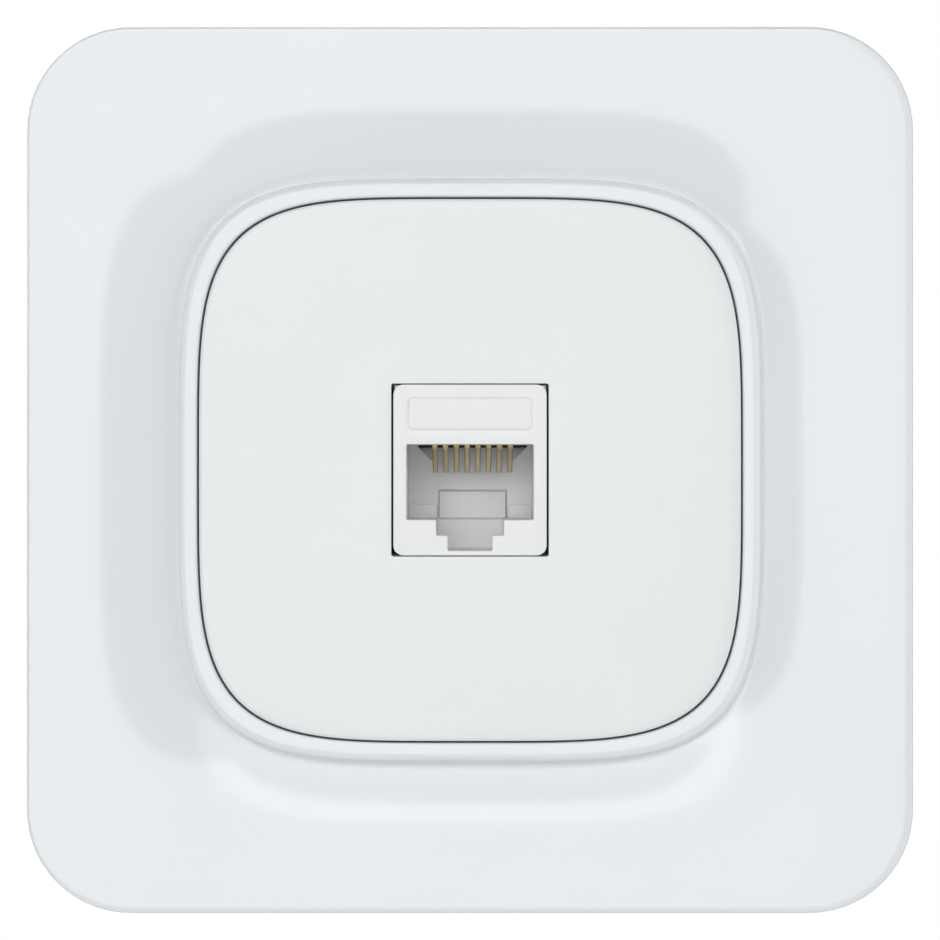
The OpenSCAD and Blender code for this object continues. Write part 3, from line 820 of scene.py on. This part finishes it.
def thread(radius, start, end):
    """A threaded rod round the Y axis, cut square at both ends."""
    rod = bmesh.new()
    turns = math.ceil((end - start) / PITCH) + 2
    root = radius - THREAD_DEPTH
    profile = [(root, 0), (radius, 0.4), (radius, 0.52), (root, 0.92), (root, 1)]
    verts = [rod.verts.new((r * MM, (start + (share - 1) * PITCH) * MM, 0))
             for r, share in profile]
    edges = [rod.edges.new(pair) for pair in zip(verts, verts[1:])]
    bmesh.ops.spin(rod, geom=verts + edges, cent=(0, 0, 0), axis=(0, -1, 0),
                   dvec=(0, PITCH / THREAD_STEPS * MM, 0), angle=math.tau * turns,
                   steps=THREAD_STEPS * turns)
    bmesh.ops.remove_doubles(rod, verts=rod.verts, dist=2e-6)
    for y, way in ((start, -1), (end, 1)):
        cut = bmesh.ops.bisect_plane(rod, geom=[*rod.verts, *rod.edges, *rod.faces],
                                     plane_co=(0, y * MM, 0), plane_no=(0, way, 0),
                                     clear_outer=True)
        loop = [g for g in cut["geom_cut"] if isinstance(g, bmesh.types.BMEdge)]
        bmesh.ops.triangle_fill(rod, edges=loop, use_beauty=True)
    return rod


for side, body in ((1, "claw_screw_right"), (-1, "claw_screw_left")):
    low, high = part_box(body)
    top = low.y / MM
    seat = top + HEAD_HEIGHT
    head = lathe([(0, top), (1.6, top), (2.2, top + 0.12), (2.55, top + 0.4), (HEAD_R, top + 0.85),
                  (HEAD_R, seat - 0.1), (HEAD_R - 0.1, seat), (0, seat)])
    for half_x, half_z in ((CROSS_HALF, CROSS_WIDTH / 2), (CROSS_WIDTH / 2, CROSS_HALF)):
        slot = blocks(((-half_x, top - 1, -half_z), (half_x, top + CROSS_DEPTH, half_z)))
        head = combine(head, slot, "DIFFERENCE")
    screw = combine(head, lathe([(0, seat - 0.5), (1.2, seat - 0.5), (1.2, high.y / MM - 0.3),
                                 (0.9, high.y / MM), (0, high.y / MM)]), "UNION")
    ridge = thread(1.48, seat + 0.05, high.y / MM - 0.35)
    ridge_mesh = bpy.data.meshes.new("ridge")
    ridge.to_mesh(ridge_mesh)
    ridge.free()
    screw.from_mesh(ridge_mesh)
    bpy.data.meshes.remove(ridge_mesh)
    bmesh.ops.translate(screw, verts=screw.verts, vec=((low.x + high.x) / 2, 0, 0))
    finish_piece(body + "_threaded", screw, body, "screw_steel", [body], math.radians(28))

# %% [markdown]
# ## The engineering parts that stay
#
# Many parts already have the right shape and only need real edges. Their meshes must not be
# edited, but modifiers are live and leave the mesh alone: Weld joins the loose triangles, Decimate
# dissolves the ones that lie in one plane into whole faces, so that no seam shows, and Bevel
# rounds the sharp edges by a tenth of a millimetre or so.

# %% Finish the kept parts
KEPT_BEVEL = {
    "keystone_carrier": 0.2, "carrier_rivets": 0.25, "mounting_plate": 0.12, "claw_left": 0.12,
    "claw_right": 0.12, "claw_pins": 0.15, "jack_latch_arm": 0.15, "contact_tails": 0.05,
    "jack_pcb": 0.05, "idc_block_left": 0.12, "idc_block_right": 0.12, "idc_blades_left": 0.04,
    "idc_blades_right": 0.04, "wire_cap_left": 0.12, "wire_cap_right": 0.12,
}

slot_of = {entry["node"]: entry["material_slot"] for entry in frame["record"]["subparts"]}
for name, width in KEPT_BEVEL.items():
    node = frame["nodes"][name]
    weld = node.modifiers.new("weld", "WELD")
    weld.merge_threshold = 1e-6
    flat = node.modifiers.new("flat", "DECIMATE")
    flat.decimate_type = "DISSOLVE"
    flat.angle_limit = math.radians(1)
    bevel = node.modifiers.new("edges", "BEVEL")
    bevel.width = width * MM
    bevel.segments = 2
    bevel.limit_method = "ANGLE"
    bevel.angle_limit = math.radians(40)
    bevel.harden_normals = True
    node.data.materials.clear()
    node.data.materials.append(MATERIALS[slot_of[name]])
print("kept parts:", len(KEPT_BEVEL))

# %% [markdown]
# ## Floor and light
#
# The socket is shown on its own, in front of plain white. A pale floor lies well below it, so that
# it reflects light without standing behind the object. Both the floor and the surroundings look
# white to the camera, while what they shine on the object is set apart from that. A soft panel in
# front gives most of the light, and its edge shows as a soft step in the glossy dish. A wide panel
# above, one at each side and one behind fill in the rest.

# %% Floor
FLOOR_DROP = 0.6
FLOOR_RADIUS = 1.2
floor_bm = bmesh.new()
bmesh.ops.create_circle(floor_bm, cap_ends=True, segments=96, radius=FLOOR_RADIUS)
floor_mesh = bpy.data.meshes.new("floor")
floor_bm.to_mesh(floor_mesh)
floor_bm.free()
floor = bpy.data.objects.new("floor", floor_mesh)
floor.location = (0, 0, cad_low.z - FLOOR_DROP)
floor_material = bpy.data.materials.new("floor_pale")
floor_material.use_nodes = True
floor_nodes = floor_material.node_tree.nodes
floor_nodes["Principled BSDF"].inputs["Base Color"].default_value = colour("F2F2F2")
# Seen directly it is plain and pale; for all other light it is an ordinary surface.
direct_look = add(floor_material, "ShaderNodeLightPath").outputs["Is Camera Ray"]
pale = add(floor_material, "ShaderNodeEmission", Color=colour("F4F5F5"), Strength=1.0)
floor_mix = add(floor_material, "ShaderNodeMixShader", Fac=direct_look)
floor_link = floor_material.node_tree.links.new
floor_link(floor_nodes["Principled BSDF"].outputs["BSDF"], floor_mix.inputs[1])
floor_link(pale.outputs["Emission"], floor_mix.inputs[2])
floor_link(floor_mix.outputs["Shader"], floor_nodes["Material Output"].inputs["Surface"])
floor_mesh.materials.append(floor_material)
bpy.context.scene.collection.objects.link(floor)

# %% Lights
bpy.context.scene.view_settings.view_transform = "Standard"
world = bpy.data.worlds.new("studio")
world.use_nodes = True
bpy.context.scene.world = world
tree = world.node_tree
tree.nodes.clear()
path = tree.nodes.new("ShaderNodeLightPath")
seen = tree.nodes.new("ShaderNodeBackground")
seen.inputs["Color"].default_value = (1, 1, 1, 1)
seen.inputs["Strength"].default_value = 1.0
fill = tree.nodes.new("ShaderNodeBackground")
fill.inputs["Color"].default_value = (0.97, 0.99, 1, 1)
fill.inputs["Strength"].default_value = 0.24
either = tree.nodes.new("ShaderNodeMixShader")
tree.links.new(path.outputs["Is Camera Ray"], either.inputs["Fac"])
tree.links.new(fill.outputs["Background"], either.inputs[1])
tree.links.new(seen.outputs["Background"], either.inputs[2])
out = tree.nodes.new("ShaderNodeOutputWorld")
tree.links.new(either.outputs["Shader"], out.inputs["Surface"])


def softbox(name, place, size, watts):
    """A soft panel at a place, in metres, turned towards the middle of the object."""
    data = bpy.data.lights.new(name, "AREA")
    data.shape = "RECTANGLE"
    data.size, data.size_y = size
    data.energy = watts
    lamp = bpy.data.objects.new(name, data)
    lamp.location = place
    lamp.rotation_euler = (-Vector(place)).to_track_quat("-Z", "Y").to_euler()
    bpy.context.scene.collection.objects.link(lamp)


softbox("front", (-0.11, -0.99, 0.08), (0.56, 0.62), 2.75)
softbox("above", (0.0, -0.9, 0.44), (1.1, 0.4), 2.0)
softbox("left", (-0.87, -0.5, 0.0), (1.0, 1.0), 1.8)
softbox("right", (0.87, -0.5, 0.0), (1.0, 1.0), 2.8)
softbox("behind", (-0.4, 1.1, 0.5), (1.0, 1.0), 9.0)
print("lights placed")
